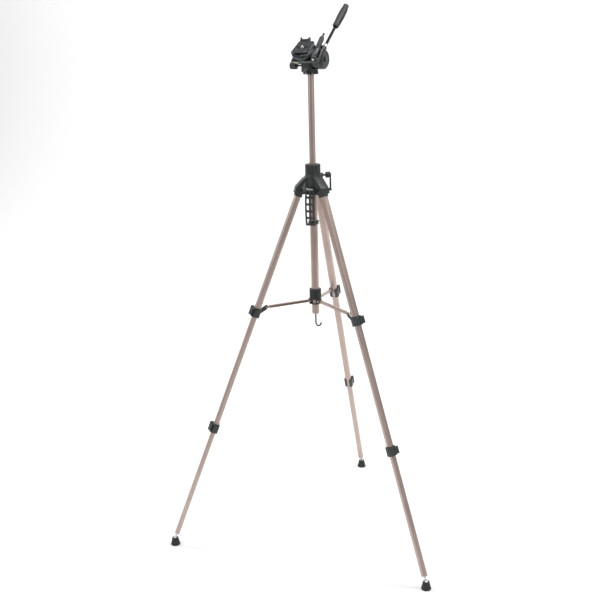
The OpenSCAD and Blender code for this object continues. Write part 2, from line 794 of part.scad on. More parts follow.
// Quick-release plate in the platform's tray, bored for the camera screw.
module quick_plate() {
    y_mid = (quick_y[0] + quick_y[1]) / 2;
    color(black) at_tilt() translate([quick_x, y_mid, quick_z]) difference() {
        linear_extrude(quick_t) oblong(quick_w, quick_y[1] - quick_y[0], 5);
        translate([0, screw_y - y_mid, -1]) {
            cylinder(r = screw_shank + run, h = quick_t + 2);
            cylinder(r = 8.4, h = 3.4);
        }
    }
}

// Lever that holds the quick-release plate, turning on its own stub.
module quick_lever() {
    color(black) at_tilt() translate([0, 0, quick_z]) {
        linear_extrude(4) bar(lever_stub, lever_end, 3.2);
        translate([lever_stub[0], lever_stub[1], -8]) cylinder(r = 2, h = 9);
        translate([lever_end[0], lever_end[1], 0]) cylinder(r = 3.6, h = 5.5);
    }
}

// Camera screw, standing out of the quick-release plate.
module camera_screw() {
    color(steel) at_tilt() translate([quick_x, screw_y, quick_z]) {
        cylinder(r = 8, h = 2.2);
        cylinder(r = screw_shank, h = quick_t - 0.1);
        cylinder(r = screw_d / 2, h = quick_t + screw_stand);
    }
}

canopy();
leg_hinge_pins();
guide_tube();
carry_handle();
end_plug();
hook();
column_tube();
column_rack();
lock_ring();
crank_shaft();
crank_arm();
crank_knob();
brace_hub();
hub_pins();
leg_cap(0);  // leg_cap_1
leg_cap(1);  // leg_cap_2
leg_cap(2);  // leg_cap_3
upper_tube(0);  // upper_tube_1
upper_tube(1);  // upper_tube_2
upper_tube(2);  // upper_tube_3
main_clamp(0);  // main_clamp_1
main_clamp(1);  // main_clamp_2
main_clamp(2);  // main_clamp_3
main_lever(0);  // main_lever_1
main_lever(1);  // main_lever_2
main_lever(2);  // main_lever_3
middle_tube(0);  // middle_tube_1
middle_tube(1);  // middle_tube_2
middle_tube(2);  // middle_tube_3
lower_clamp(0);  // lower_clamp_1
lower_clamp(1);  // lower_clamp_2
lower_clamp(2);  // lower_clamp_3
lower_lever(0);  // lower_lever_1
lower_lever(1);  // lower_lever_2
lower_lever(2);  // lower_lever_3
lower_tube(0);  // lower_tube_1
lower_tube(1);  // lower_tube_2
lower_tube(2);  // lower_tube_3
foot_stud(0);  // foot_stud_1
foot_stud(1);  // foot_stud_2
foot_stud(2);  // foot_stud_3
foot(0);  // foot_1
foot(1);  // foot_2
foot(2);  // foot_3
brace_arm(0);  // brace_arm_1
brace_arm(1);  // brace_arm_2
brace_arm(2);  // brace_arm_3
pan_base();
pan_body();
pan_knob();
tilt_pin();
tilt_body();
handle_rod();
handle_grip();
side_pin();
side_knob();
platform();
quick_plate();
quick_lever();
camera_screw();
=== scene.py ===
import bpy, json, math
from mathutils import Matrix, Vector

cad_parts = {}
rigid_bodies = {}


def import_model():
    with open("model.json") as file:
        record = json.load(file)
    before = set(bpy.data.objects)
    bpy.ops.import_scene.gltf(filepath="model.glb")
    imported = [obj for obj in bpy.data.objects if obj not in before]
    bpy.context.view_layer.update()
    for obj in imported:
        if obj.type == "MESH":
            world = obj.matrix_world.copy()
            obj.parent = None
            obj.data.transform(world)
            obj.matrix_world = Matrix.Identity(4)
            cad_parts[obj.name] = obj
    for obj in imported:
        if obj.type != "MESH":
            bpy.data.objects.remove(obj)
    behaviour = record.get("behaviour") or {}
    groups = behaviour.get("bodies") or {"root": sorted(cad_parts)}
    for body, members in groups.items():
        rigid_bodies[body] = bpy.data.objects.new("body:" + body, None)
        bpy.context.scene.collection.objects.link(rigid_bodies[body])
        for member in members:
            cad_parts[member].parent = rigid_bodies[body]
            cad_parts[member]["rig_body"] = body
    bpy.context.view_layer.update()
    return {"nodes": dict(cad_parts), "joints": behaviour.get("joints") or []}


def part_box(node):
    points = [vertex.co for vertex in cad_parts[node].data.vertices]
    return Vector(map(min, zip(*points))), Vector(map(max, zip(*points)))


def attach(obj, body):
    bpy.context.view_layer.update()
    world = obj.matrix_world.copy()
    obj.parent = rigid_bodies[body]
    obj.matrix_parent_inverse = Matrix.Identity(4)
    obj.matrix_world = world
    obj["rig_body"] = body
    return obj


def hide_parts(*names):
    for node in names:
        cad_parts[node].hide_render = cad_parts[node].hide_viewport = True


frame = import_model()
nodes = frame["nodes"]
joints = {j["name"]: j for j in frame["joints"]}
bpy.ops.object.select_all(action="DESELECT")
mm = 0.001


# Canopy. One black glass-filled nylon moulding that the three legs are hinged to. It has a
# fine spark-eroded grain, softened moulding edges, and a flat rib up its front.
def new_finish(name):
    """A material's node tree, its shader, and the point on the piece."""
    made = bpy.data.materials.new(name)
    made.use_nodes = True
    tree = made.node_tree
    return made, tree, tree.nodes["Principled BSDF"], tree.nodes.new("ShaderNodeTexCoord").outputs["Object"]


def speckle(tree, where, scale, detail=2.0):
    n = tree.nodes.new("ShaderNodeTexNoise")
    n.inputs["Scale"].default_value = scale
    n.inputs["Detail"].default_value = detail
    tree.links.new(where, n.inputs["Vector"])
    return n.outputs["Fac"]


def spread(tree, fac, low, high, start=0.0, stop=1.0):
    r = tree.nodes.new("ShaderNodeMapRange")
    r.inputs["From Min"].default_value = start
    r.inputs["From Max"].default_value = stop
    r.inputs["To Min"].default_value = low
    r.inputs["To Max"].default_value = high
    tree.links.new(fac, r.inputs["Value"])
    return r.outputs["Result"]


def blend_colours(tree, fac, first, second):
    mix = tree.nodes.new("ShaderNodeMix")
    mix.data_type = "RGBA"
    for socket, colour in (("A", first), ("B", second)):
        if isinstance(colour, tuple):
            mix.inputs[6 if socket == "A" else 7].default_value = (*colour, 1)
        else:
            tree.links.new(colour, mix.inputs[6 if socket == "A" else 7])
    tree.links.new(fac, mix.inputs[0])
    return mix.outputs[2]


def emboss(tree, shader, height, strength, depth):
    b = tree.nodes.new("ShaderNodeBump")
    b.inputs["Strength"].default_value = strength
    b.inputs["Distance"].default_value = depth
    tree.links.new(height, b.inputs["Height"])
    tree.links.new(b.outputs["Normal"], shader.inputs["Normal"])


def painted_edge_highlight(tree, colour, edge_highlight_colour, start=0.515, stop=0.60):
    """Paints a piece's sharp convex edges a little lighter: a painted highlight along the edges."""
    g = tree.nodes.new("ShaderNodeNewGeometry")
    return blend_colours(tree, spread(tree, g.outputs["Pointiness"], 0.0, 1.0, start, stop),
        colour, edge_highlight_colour)


# A black moulding's finish. Its third colour is a painted highlight, laid on the sharp edges.
def moulded_black(name, dark, light, edge_highlight_colour, rough, grain=1500.0, depth=0.00005):
    made, tree, shader, where = new_finish(name)
    fine = speckle(tree, where, grain)
    cloud = spread(tree, speckle(tree, where, 45.0, 3.0), 0.0, 1.0, 0.3, 0.7)
    # Painted highlight: the sharp edges are coloured lighter than the rest of the moulding.
    tree.links.new(painted_edge_highlight(tree, blend_colours(tree, cloud, dark, light), edge_highlight_colour),
        shader.inputs["Base Color"])
    tree.links.new(spread(tree, fine, rough - 0.07, rough + 0.09, 0.3, 0.7),
        shader.inputs["Roughness"])
    shader.inputs["Specular IOR Level"].default_value = 0.55
    emboss(tree, shader, fine, 0.45, depth)
    return made


grained_nylon = moulded_black("grained_nylon", (0.013, 0.016, 0.016), (0.021, 0.025, 0.025),
    (0.045, 0.052, 0.052), 0.40)


def finish(piece, material, body):
    """Gives a piece its finish and fixes it to the body that carries it."""
    piece.data.materials.clear()
    piece.data.materials.append(material)
    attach(piece, body)
    return piece


def pick(piece):
    bpy.ops.object.select_all(action="DESELECT")
    piece.select_set(True)
    bpy.context.view_layer.objects.active = piece


def apply_all(piece):
    pick(piece)
    for m in list(piece.modifiers):
        bpy.ops.object.modifier_apply(modifier=m.name)


def eased(node, name, width, material, segments=2, corner=38):
    """The piece as it comes from the mould: its edges eased, standing for the CAD node."""
    piece = bpy.data.objects.new(name, nodes[node].data.copy())
    bpy.context.scene.collection.objects.link(piece)
    pick(piece)
    bpy.ops.object.mode_set(mode="EDIT")
    bpy.ops.mesh.select_all(action="SELECT")
    bpy.ops.mesh.remove_doubles(threshold=0.000004)
    bpy.ops.mesh.dissolve_limited(angle_limit=math.radians(0.6))
    bpy.ops.object.mode_set(mode="OBJECT")
    if width:
        edge = piece.modifiers.new("edges", "BEVEL")
        edge.limit_method = "ANGLE"
        edge.angle_limit = math.radians(corner)
        edge.width = width * mm
        edge.segments = segments
        edge.use_clamp_overlap = False
        edge.harden_normals = False
        apply_all(piece)
    bpy.ops.object.shade_smooth_by_angle(angle=math.radians(32))
    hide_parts(node)
    return finish(piece, material, nodes[node]["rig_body"])


def frame_at(at, x, z):
    """Where a piece sits: its origin, its +X and its +Z."""
    x, z = Vector(x).normalized(), Vector(z).normalized()
    y = z.cross(x)
    m = Matrix((x, y, z)).transposed().to_4x4()
    m.translation = Vector(at)
    return m


axis_at = Vector(joints["tilt"]["pos_m"]) * 1.0
axis_at.z = 0
stand_frame = frame_at(axis_at, (0, -1, 0), (0, 0, 1))       # +X forward, +Z up the column
eased("canopy", "canopy_moulding", 0.9, grained_nylon, 3)


def settle(piece, place):
    """Puts a piece shaped at the origin in its place, in its mesh."""
    piece.data.transform(place)
    piece.matrix_world = Matrix.Identity(4)
    return piece


def block(name, size, at=(0, 0, 0), round_by=0.0, segments=2):
    """A bar with rounded edges, sized and placed in millimetres."""
    bpy.ops.mesh.primitive_cube_add(size=1, location=[v * mm for v in at])
    piece = bpy.context.object
    piece.name = piece.data.name = name
    bpy.ops.transform.resize(value=[v * mm for v in size])
    bpy.ops.object.transform_apply(location=True, rotation=True, scale=True)
    if round_by:
        bpy.ops.object.mode_set(mode="EDIT")
        bpy.ops.mesh.select_all(action="SELECT")
        bpy.ops.mesh.bevel(offset=round_by * mm, segments=segments, affect="EDGES")
        bpy.ops.object.mode_set(mode="OBJECT")
    bpy.ops.object.shade_smooth_by_angle(angle=math.radians(32))
    return piece


canopy_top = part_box("lock_ring")[0].z - 0.0005
canopy_r = (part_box("pan_base")[1].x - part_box("pan_base")[0].x) / 2 / mm + 2
rib = block("canopy_rib", (3.4, 14, 32), (canopy_r - 1.2, 0, canopy_top / mm - 19), 1.1, 3)
settle(rib, stand_frame)
finish(rib, grained_nylon, "stand")


# Hinge bolts and small screws. Steel pan heads with a cross recess, the hinge bolts blacked and the small
# screws zinc-plated. One head is turned and punched once, then copied wherever the stand is screwed or
# riveted.
def plated(name, colour, rough, scale=220.0):
    made, tree, shader, where = new_finish(name)
    dull = speckle(tree, where, scale, 4.0)
    tree.links.new(blend_colours(tree, dull, tuple(c * 0.78 for c in colour), colour),
        shader.inputs["Base Color"])
    tree.links.new(spread(tree, dull, rough - 0.05, rough + 0.12, 0.3, 0.7),
        shader.inputs["Roughness"])
    shader.inputs["Metallic"].default_value = 1.0
    emboss(tree, shader, speckle(tree, where, 2400.0), 0.12, 0.00003)
    return made


zinc = plated("bright_zinc", (0.74, 0.74, 0.75), 0.24)
blacked = plated("blacked_steel", (0.06, 0.062, 0.065), 0.32)

bpy.ops.mesh.primitive_cylinder_add(vertices=32, radius=1, depth=0.56, location=(0, 0, 0.28))
screw_head = bpy.context.object
screw_head.name = screw_head.data.name = "screw_head"
bpy.ops.object.mode_set(mode="EDIT")
bpy.ops.mesh.select_mode(type="EDGE")
bpy.ops.mesh.select_all(action="DESELECT")
bpy.ops.object.mode_set(mode="OBJECT")
for e in screw_head.data.edges:
    e.select = all(screw_head.data.vertices[v].co.z > 0.5 for v in e.vertices)
bpy.ops.object.mode_set(mode="EDIT")
bpy.ops.mesh.bevel(offset=0.34, segments=4, affect="EDGES")
bpy.ops.object.mode_set(mode="OBJECT")
for turn in (0, 90):
    bpy.ops.mesh.primitive_cube_add(size=1, location=(0, 0, 0.56))
    blade = bpy.context.object
    bpy.ops.transform.resize(value=(1.15, 0.24, 0.5))
    blade.rotation_euler.z = math.radians(turn)
    cut = screw_head.modifiers.new("recess", "BOOLEAN")
    cut.object = blade
    cut.operation = "DIFFERENCE"
    apply_all(screw_head)
    bpy.data.objects.remove(blade)
pick(screw_head)
bpy.ops.object.shade_smooth_by_angle(angle=math.radians(28))


def copy_of(master, name, place, material, body):
    piece = bpy.data.objects.new(name, master.data.copy())
    bpy.context.scene.collection.objects.link(piece)
    settle(piece, place)
    return finish(piece, material, body)


def screw(name, at, along, radius, body, twist=20, material=None):
    """A screw head on a face: its foot at a point, looking along a direction."""
    turn = Vector(along).to_track_quat("Z", "Y").to_matrix().to_4x4()
    place = Matrix.Translation(Vector(at)) @ turn @ Matrix.Rotation(math.radians(twist), 4, "Z")
    return copy_of(screw_head, name, place @ Matrix.Scale(radius * mm, 4), material or zinc,
        body)


leg_frames = []
for i in (1, 2, 3):
    fold, slide = joints[f"leg_{i}_fold"], joints[f"leg_{i}_middle_slide"]
    y, z = Vector(fold["axis"]), Vector(slide["axis"])
    leg_frames.append(frame_at(fold["pos_m"], y.cross(z), z))
pin_half = 16.6
for i, leg in enumerate(leg_frames):
    for side in (-1, 1):
        screw(f"hinge_bolt_{i + 1}{'ab'[side > 0]}", leg @ Vector((0, side * pin_half * mm, 0)),
            leg.to_3x3() @ Vector((0, side, 0)), 4.4, "stand", 15 + 40 * i, blacked)
nodes["leg_hinge_pins"].data.materials.clear()
nodes["leg_hinge_pins"].data.materials.append(blacked)


# Leg tubes, guide tube, column and brace arms. Drawn aluminium, satin anodised in a pale
# champagne, with the faint lengthwise lines of the die. Each is open tube or folded strip.
def champagne(name, angles, lightness=1.0):
    made, tree, shader, where = new_finish(name)
    turn = tree.nodes.new("ShaderNodeVectorRotate")
    turn.rotation_type = "EULER_XYZ"
    turn.invert = True
    turn.inputs["Rotation"].default_value = angles
    tree.links.new(where, turn.inputs["Vector"])
    draw = tree.nodes.new("ShaderNodeMapping")
    draw.inputs["Scale"].default_value = (1400, 1400, 5)
    tree.links.new(turn.outputs["Vector"], draw.inputs["Vector"])
    lines = speckle(tree, draw.outputs["Vector"], 1.0)
    cloud = spread(tree, speckle(tree, where, 12.0, 3.0), 0.0, 1.0, 0.3, 0.7)
    tree.links.new(blend_colours(tree, cloud, tuple(lightness * c for c in (0.46, 0.36, 0.32)),
        tuple(lightness * c for c in (0.53, 0.42, 0.375))), shader.inputs["Base Color"])
    tree.links.new(spread(tree, lines, 0.27, 0.40, 0.3, 0.7), shader.inputs["Roughness"])
    shader.inputs["Metallic"].default_value = 0.8
    emboss(tree, shader, lines, 0.22, 0.00004)
    return made


def refinish(node, material):
    nodes[node].data.materials.clear()
    nodes[node].data.materials.append(material)


upright = champagne("champagne_upright", (0, 0, 0))
for node in ("guide_tube", "column_tube", "end_plug"):
    refinish(node, upright)
eased("end_plug", "tube_end", 1.2, upright, 3)
for i, leg in enumerate(leg_frames):
    along_leg = champagne(f"champagne_leg_{i + 1}", leg.to_euler())
    for part in ("upper", "middle", "lower"):
        refinish(f"{part}_tube_{i + 1}", along_leg)
    arm_axis = Vector(joints[f"brace_arm_{i + 1}_hinge"]["axis"])
    out = Vector((leg[0][0], leg[1][0], 0))
    arm_frame = frame_at((0, 0, 0), arm_axis, out)
    eased(f"brace_arm_{i + 1}", f"spreader_arm_{i + 1}", 0.35,
        champagne(f"champagne_arm_{i + 1}", arm_frame.to_euler()))


# Leg caps. Black mouldings plugged over the tubes' ends, with the hinge knuckle on top.
for i in (1, 2, 3):
    eased(f"leg_cap_{i}", f"leg_knuckle_{i}", 0.5, grained_nylon)


# Column rack. A milled steel strip with slanting shadow between its teeth, let into the tube.
refinish("column_rack", plated("milled_steel", (0.55, 0.54, 0.53), 0.34, 700.0))


# Lock ring. A lobed black ring that squeezes the collet on the column.
eased("lock_ring", "collet_ring", 0.8, grained_nylon, 3)


# Crank. A steel shaft, and a black moulded boss and arm that hangs beside the canopy. The
# boss is knurled round, and a small knob spins on the arm's end.
crank_x = Vector(joints["crank_turn"]["axis"])
crank_frame = frame_at(joints["crank_turn"]["pos_m"], crank_x, (0, 0, 1))
refinish("crank_shaft", blacked)
eased("crank_arm", "crank_lever", 0.9, grained_nylon, 3)
crank_out = max((Vector(c) - crank_frame.translation).dot(crank_x)
    for c in [v.co for v in nodes["crank_arm"].data.vertices]) / mm
crank_in = min((Vector(c) - crank_frame.translation).dot(crank_x)
    for c in [v.co for v in nodes["crank_arm"].data.vertices]) / mm


def turned(name, outline, vertices=48):
    """A turned piece: its outline, as (radius, height) in millimetres, spun about +Z."""
    mesh = bpy.data.meshes.new(name)
    mesh.from_pydata([(r * mm, 0, h * mm) for r, h in outline],
        [(n, n + 1) for n in range(len(outline) - 1)], [])
    piece = bpy.data.objects.new(name, mesh)
    bpy.context.scene.collection.objects.link(piece)
    pick(piece)
    bpy.ops.object.mode_set(mode="EDIT")
    bpy.ops.mesh.select_all(action="SELECT")
    bpy.ops.mesh.spin(steps=vertices, angle=math.tau, center=(0, 0, 0), axis=(0, 0, 1))
    bpy.ops.mesh.select_all(action="SELECT")
    bpy.ops.mesh.remove_doubles(threshold=0.000002)
    bpy.ops.mesh.normals_make_consistent(inside=False)
    bpy.ops.object.mode_set(mode="OBJECT")
    bpy.ops.object.shade_smooth_by_angle(angle=math.radians(32))
    return piece


def knurl(piece, low, high, every, depth, radius):
    """Presses in every second strip of a turned piece's side, between two heights."""
    bpy.ops.object.mode_set(mode="EDIT")
    bpy.ops.mesh.select_mode(type="FACE")
    bpy.ops.mesh.select_all(action="DESELECT")
    bpy.ops.object.mode_set(mode="OBJECT")
    for f in piece.data.polygons:
        c = f.center / mm
        count = math.atan2(c.y, c.x) / math.tau * every
        f.select = low < c.z < high and math.hypot(c.x, c.y) > radius and count % 1 < 0.5
    bpy.ops.object.mode_set(mode="EDIT")
    bpy.ops.mesh.inset(thickness=0.12 * mm, depth=-depth * mm)
    bpy.ops.object.mode_set(mode="OBJECT")
    bpy.ops.object.shade_smooth_by_angle(angle=math.radians(28))


grip = turned("crank_boss_grip", [(0, 0), (8.6, 0), (9.1, 0.8), (9.1, 13.2), (8.6, 14), (0, 14)], 96)
knurl(grip, 0.9, 13.1, 24, 0.5, 9)
settle(grip, crank_frame @ Matrix.Translation((crank_in * mm + 0.0004, 0, 0))
    @ Matrix.Rotation(math.pi / 2, 4, "Y"))
finish(grip, grained_nylon, "crank")
screw("crank_screw", crank_frame @ Vector(((crank_out - 0.1) * mm, 0, 0)), crank_x, 3.2, "crank", 30)
eased("crank_knob", "crank_handle", 0.8, grained_nylon, 3)


# Carrying handle. A perforated black strip bowed in front of the guide tube, clipped round it
# below. A bright steel staple holds its upper end to the canopy.
eased("carry_handle", "carrying_strip", 0.45, grained_nylon)
strip_low, strip_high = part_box("carry_handle")
front = (axis_at.y - strip_low.y) / mm
staple = block("handle_staple", (1.2, 20, 4.4), (31.4, 0, strip_high.z / mm - 1.0), 0.5)
settle(staple, stand_frame)
finish(staple, zinc, "stand")
for side in (-1, 1):
    clip_at = stand_frame @ Vector((0.006, side * 0.0156, strip_low.z + 0.0055))
    screw(f"clip_screw_{'ab'[side > 0]}", clip_at, stand_frame.to_3x3() @ Vector((0.1, side, 0)),
        2.4, "stand", 50)


# Brace hub. A ribbed black sleeve that slides on the guide tube, with ears for the arms and
# domed steel rivets through them.
eased("brace_hub", "hub_sleeve", 0.3, grained_nylon)
eased("hub_pins", "hub_rivets", 0.35, zinc, 2)


# Leg clamps. Black collars closed by a flip lever, whose pin is a steel rod peened over. The
# top clamps also carry the arms' rivets in their ears.
clamp_gloss = moulded_black("clamp_nylon", (0.014, 0.018, 0.018), (0.024, 0.030, 0.030),
    (0.055, 0.063, 0.063), 0.34, 1200.0)
for i, leg in enumerate(leg_frames):
    for part, body in (("main", f"leg_{i + 1}"), ("lower", f"leg_{i + 1}_middle")):
        eased(f"{part}_clamp_{i + 1}", f"{part}_collar_{i + 1}", 0.5, clamp_gloss)
        eased(f"{part}_lever_{i + 1}", f"{part}_flip_{i + 1}", 0.5, clamp_gloss)
        hinge = joints[f"leg_{i + 1}_{part}_lever"]
        for side in (-1, 1):
            at = Vector(hinge["pos_m"]) + Vector(leg.col[2][:3]) * side * 0.0151
            screw(f"{part}_lever_pin_{i + 1}{'ab'[side > 0]}", at, leg.col[2].xyz * side, 2.1,
                f"{part}_lever_{i + 1}", 10)
        thumb = None
        pin = leg.inverted() @ Vector(hinge["pos_m"]) / mm
        for n in range(4):
            line = block("thumb_line", (0.9, 1.1, 17), (pin.x + 2.7, -pin.y - 4.4 + 2.1 * n, pin.z), 0.35)
            if thumb:
                thumb.select_set(True)
                bpy.context.view_layer.objects.active = thumb
                bpy.ops.object.join()
            thumb = bpy.context.object
        thumb.name = thumb.data.name = f"{part}_thumb_lines_{i + 1}"
        settle(thumb, leg)
        finish(thumb, clamp_gloss, f"{part}_lever_{i + 1}")
    for side in (-1, 1):
        screw(f"ear_rivet_{i + 1}{'ab'[side > 0]}", leg @ Vector((-26 * mm, side * 8.3 * mm, -385 * mm)),
            leg.to_3x3() @ Vector((0, side, 0)), 2.6, f"leg_{i + 1}", 35)


# Foot studs. Steel shanks and balls, and turned rubber feet with ribbed sides and a lip.
for i in (1, 2, 3):
    refinish(f"foot_stud_{i}", zinc)
tread = moulded_black("foot_rubber", (0.010, 0.010, 0.010), (0.020, 0.020, 0.020),
    (0.030, 0.030, 0.030), 0.66, 900.0, 0.00012)
for i in (1, 2, 3):
    low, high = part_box(f"foot_{i}")
    middle, tall = (low + high) / 2, (high.z - low.z) / mm
    boot = turned(f"rubber_foot_{i}", [(0, 0), (9, 0), (9.4, 0.7), (12.6, 0.7), (13, 0), (13.6, 0.1),
        (14.8, 1.2), (15, 2), (15, 4.6), (14.4, 5.6), (13.7, 6.5), (13.5, 7.4), (13.0, 7.7),
        (12.95, 9.3), (13.3, 9.6), (13.1, 10.9), (12.4, 11.2), (12.3, 12.8), (12.6, 13.1),
        (12.3, 14.4), (11.7, 14.7), (11.5, 16.4), (11.2, 20), (10.5, tall - 2.6), (10.2, tall - 1),
        (9.4, tall), (5.0, tall), (4.4, tall - 0.8), (0, tall - 0.8)])
    settle(boot, Matrix.Translation((middle.x, middle.y, low.z)))
    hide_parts(f"foot_{i}")
    finish(boot, tread, f"foot_{i}")


# Weight hook. Round steel wire, dipped in black, that turns in the tube's end.
dipped = moulded_black("dipped_wire", (0.008, 0.008, 0.009), (0.014, 0.014, 0.015),
    (0.05, 0.05, 0.05), 0.30, 500.0, 0.00008)
eased("hook", "weight_hook", 0.5, dipped, 3)


# Head base, pan body and pan knob. Smooth semi-gloss black mouldings. Small bright screws hold
# the base to the column, and the lobed knob has a steel screw end in a turned recess.
satin_black = moulded_black("satin_head", (0.010, 0.013, 0.014), (0.016, 0.020, 0.021),
    (0.05, 0.058, 0.06), 0.26, 900.0, 0.00003)
tilt_x = Vector(joints["tilt"]["axis"])
plate_up = Vector(joints["camera_screw_turn"]["axis"])
head_frame = frame_at(joints["tilt"]["pos_m"], tilt_x, plate_up)     # +Y to the rear
pan_frame = frame_at(joints["tilt"]["pos_m"], tilt_x, (0, 0, 1))
eased("pan_base", "head_base", 0.5, satin_black, 3)
eased("pan_body", "pan_yoke", 0.8, satin_black, 3)
eased("pan_knob", "pan_lock_knob", 1.2, grained_nylon, 3)
base_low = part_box("pan_base")[1].z - 0.0252
base_r = (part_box("pan_body")[0].y - axis_at.y) / -mm
for n, turn in enumerate((250, 300, 10, 130)):
    out = Vector((math.cos(math.radians(turn)), math.sin(math.radians(turn)), 0))
    at = Vector((axis_at.x, axis_at.y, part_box("pan_body")[0].z - 0.0028)) + out * 0.0229
    screw(f"base_screw_{n + 1}", at, out, 1.7, "column", 12 * n)
knob_end = pan_frame @ Vector((-67 * mm, 0, -18.5 * mm))
screw("pan_knob_screw", knob_end, -tilt_x, 3.4, "pan_knob", 30)


# Tilt drum. The moulded body that tips on the axle: a round drum on the handle's side with a
# turned step and a black end cap, and a bridge under the platform with a spirit level in it.
eased("tilt_body", "tilt_drum", 2.2, satin_black, 4)
eased("tilt_pin", "tilt_axle", 1.0, satin_black, 3)
side_turn = head_frame @ Matrix.Rotation(math.pi / 2, 4, "Y")        # +Z along the axle
drum_ring = turned("drum_ring", [(20.5, 49.4), (20.5, 50.2), (21.1, 50.9), (22.4, 50.9),
    (23, 50.2), (23, 49.4)], 72)
settle(drum_ring, side_turn)
finish(drum_ring, satin_black, "tilt_head")

level_at = (-22, -38, 29)
surround = block("level_surround", (20, 2.4, 8), (level_at[0], level_at[1] - 0.3, level_at[2]), 0.9, 3)
settle(surround, head_frame)
finish(surround, glossy_trim := moulded_black("glossy_trim", (0.012, 0.016, 0.017),
    (0.018, 0.023, 0.025), (0.06, 0.07, 0.072), 0.18, 700.0, 0.00002), "tilt_head")
made, tree, shader, where = new_finish("level_back")
tree.links.new(blend_colours(tree, speckle(tree, where, 900.0), (0.82, 0.83, 0.80),
    (0.90, 0.91, 0.88)), shader.inputs["Base Color"])
shader.inputs["Roughness"].default_value = 0.35
level_card = block("level_card", (15.4, 0.5, 4.6), (level_at[0], level_at[1] - 1.55, level_at[2]), 0.2)
settle(level_card, head_frame)
finish(level_card, made, "tilt_head")
made, tree, shader, where = new_finish("level_vial")
tree.links.new(blend_colours(tree, speckle(tree, where, 400.0), (0.80, 0.92, 0.55),
    (0.88, 0.96, 0.66)), shader.inputs["Base Color"])
shader.inputs["Roughness"].default_value = 0.05
shader.inputs["Transmission Weight"].default_value = 0.75
shader.inputs["IOR"].default_value = 1.45
vial = turned("level_vial", [(0, -6.6), (1.1, -6.4), (1.7, -5.8), (1.9, -5), (1.95, 0), (1.9, 5),
    (1.7, 5.8), (1.1, 6.4), (0, 6.6)], 32)
settle(vial, head_frame @ Matrix.Translation([v * mm for v in (level_at[0], level_at[1] - 2.2,
    level_at[2])]) @ Matrix.Rotation(math.pi / 2, 4, "Y"))
finish(vial, made, "tilt_head")
for side in (-1, 1):
    mark = turned(f"level_mark_{'ab'[side > 0]}", [(1.95, -0.2), (2.1, -0.2), (2.1, 0.2), (1.95, 0.2)], 32)
    settle(mark, head_frame @ Matrix.Translation([v * mm for v in (level_at[0] + side * 1.7,
        level_at[1] - 2.2, level_at[2])]) @ Matrix.Rotation(math.pi / 2, 4, "Y"))
    finish(mark, glossy_trim, "tilt_head")


# Pan handle. A gloss black steel rod in a bright ferrule, and a soft moulded grip that is
# smooth on top and ribbed for the fingers underneath.
gloss_rod = moulded_black("gloss_rod", (0.006, 0.006, 0.007), (0.009, 0.009, 0.010),
    (0.02, 0.02, 0.02), 0.16, 300.0, 0.000004)
eased("handle_rod", "handle_tube", 0.4, gloss_rod)
handle_z = Vector(joints["handle_twist"]["axis"])
if handle_z.dot(head_frame.col[1].xyz) < 0:
    handle_z = -handle_z
handle_foot = head_frame @ (Matrix.Translation((34 * mm, 0, 0)) @ Matrix.Rotation(math.radians(-6), 4, "X")
    @ Vector((0, 0, 10 * mm)))
handle_frame = frame_at(handle_foot, tilt_x, handle_z)
ferrule = turned("handle_ferrule", [(4.9, 40.2), (6.7, 40.2), (7.2, 40.7), (7.2, 43.2), (6.8, 43.6),
    (6.8, 44.4), (7.2, 44.8), (7.2, 48.2), (6.7, 49), (6.1, 51.2), (5.2, 51.6), (4.9, 51.6)], 48)
knurl(ferrule, 44.9, 48.1, 24, 0.25, 7.0)
settle(ferrule, handle_frame)
finish(ferrule, zinc, "handle")

grip_rubber = moulded_black("grip_rubber", (0.014, 0.013, 0.015), (0.024, 0.022, 0.025),
    (0.06, 0.055, 0.06), 0.48, 700.0, 0.00008)
grip_rows = [(9.6 + 1.0 * math.sin(math.pi * n / 30) - (0.9 if n > 27 else 0), 146 + 2.4 * n)
    for n in range(31)]
hand_grip = turned("hand_grip", [(5.0, 132), (7.6, 132), (8.8, 133), (9.3, 135.5), (9.4, 140)]
    + grip_rows + [(9.1, 220.5), (8.6, 224), (7.4, 228), (5.4, 230.4), (3, 231), (0, 231)], 64)
bpy.ops.object.mode_set(mode="EDIT")
bpy.ops.mesh.select_mode(type="FACE")
bpy.ops.mesh.select_all(action="DESELECT")
bpy.ops.object.mode_set(mode="OBJECT")
for f in hand_grip.data.polygons:
    c = f.center / mm
    row = (c.z - 146) / 2.4
    round_it = math.degrees(math.atan2(c.y, c.x))
    f.select = 0 < row < 29 and int(row) % 2 == 0 and -35 < round_it < 95
bpy.ops.object.mode_set(mode="EDIT")
bpy.ops.mesh.inset(thickness=0.35 * mm, depth=1.0 * mm)
bpy.ops.object.mode_set(mode="OBJECT")
bpy.ops.object.shade_smooth_by_angle(angle=math.radians(35))
settle(hand_grip, handle_frame)
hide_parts("handle_grip")
finish(hand_grip, grip_rubber, "handle")
for n, (h, r) in enumerate(((137.5, 9.5), (226.5, 8.4))):
    ring = turned(f"grip_band_{n + 1}", [(r - 1, h - 1), (r + 0.25, h - 1), (r + 0.5, h - 0.6),
        (r + 0.5, h + 0.6), (r + 0.25, h + 1), (r - 1, h + 1)], 64)
    settle(ring, handle_frame)
    finish(ring, glossy_trim, "handle")


